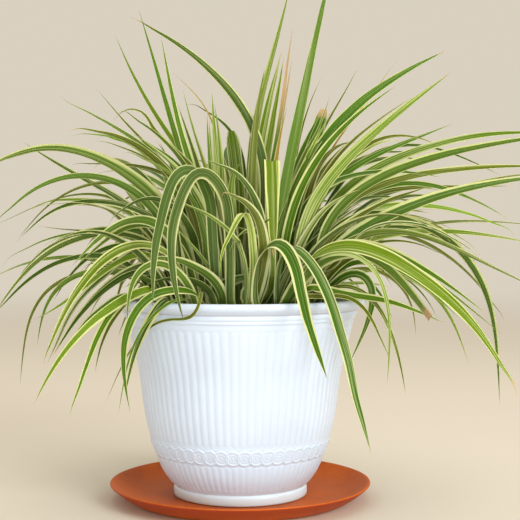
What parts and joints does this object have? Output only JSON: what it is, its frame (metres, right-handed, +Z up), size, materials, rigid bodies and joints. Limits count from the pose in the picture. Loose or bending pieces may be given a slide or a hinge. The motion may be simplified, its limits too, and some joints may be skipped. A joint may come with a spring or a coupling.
{
  "type": "potted spider plant",
  "caption": "Variegated spider plant with arching strap leaves, growing in a white ribbed pot that stands on a terracotta saucer.",
  "frame": {"origin": "centre of the saucer's flat underside", "axes": "+Z up, -Y the front of the plant as pictured, +X to the viewer's right"},
  "size_m": [0.6232, 0.5329, 0.5311],
  "materials": {
    "pot": "satin",
    "saucer": "satin",
    "soil": "matte",
    "leaf": "satin"
  },
  "bodies": {
    "root": {"leaf_fan_back_01": "leaf", "leaf_fan_back_02": "leaf", "leaf_fan_back_03": "leaf", "leaf_fan_back_04": "leaf", "leaf_fan_back_left_01": "leaf", "leaf_fan_back_left_02": "leaf", "leaf_fan_back_left_03": "leaf", "leaf_fan_back_left_04": "leaf", "leaf_fan_back_left_05": "leaf", "leaf_fan_back_left_06": "leaf", "leaf_fan_back_left_07": "leaf", "leaf_fan_back_left_08": "leaf", "leaf_fan_back_right_01": "leaf", "leaf_fan_back_right_02": "leaf", "leaf_fan_back_right_03": "leaf", "leaf_fan_back_right_04": "leaf", "leaf_fan_back_right_05": "leaf", "leaf_fan_front_01": "leaf", "leaf_fan_front_02": "leaf", "leaf_fan_front_03": "leaf", "leaf_fan_front_left_01": "leaf", "leaf_fan_front_left_02": "leaf", "leaf_fan_front_left_03": "leaf", "leaf_fan_front_left_04": "leaf", "leaf_fan_front_left_05": "leaf", "leaf_fan_front_left_06": "leaf", "leaf_fan_front_left_07": "leaf", "leaf_fan_front_right_01": "leaf", "leaf_fan_front_right_02": "leaf", "leaf_fan_front_right_03": "leaf", "leaf_fan_front_right_04": "leaf", "leaf_fan_left_01": "leaf", "leaf_fan_left_02": "leaf", "leaf_fan_left_03": "leaf", "leaf_fan_left_04": "leaf", "leaf_fan_right_01": "leaf", "leaf_fan_right_02": "leaf", "leaf_fan_right_03": "leaf", "leaf_fan_right_04": "leaf", "leaf_fan_right_05": "leaf", "leaf_fan_right_06": "leaf", "leaf_fan_right_07": "leaf", "leaf_fan_right_08": "leaf", "leaf_fan_right_09": "leaf", "leaf_fan_upright_01": "leaf", "leaf_fan_upright_02": "leaf", "leaf_fan_upright_03": "leaf", "leaf_fan_upright_04": "leaf", "leaf_fan_upright_05": "leaf", "leaf_fan_upright_06": "leaf", "leaf_fan_upright_07": "leaf", "leaf_fan_upright_08": "leaf", "leaf_fan_upright_09": "leaf", "pot": "pot", "saucer": "saucer", "soil": "soil"}
  },
  "joints": []
}
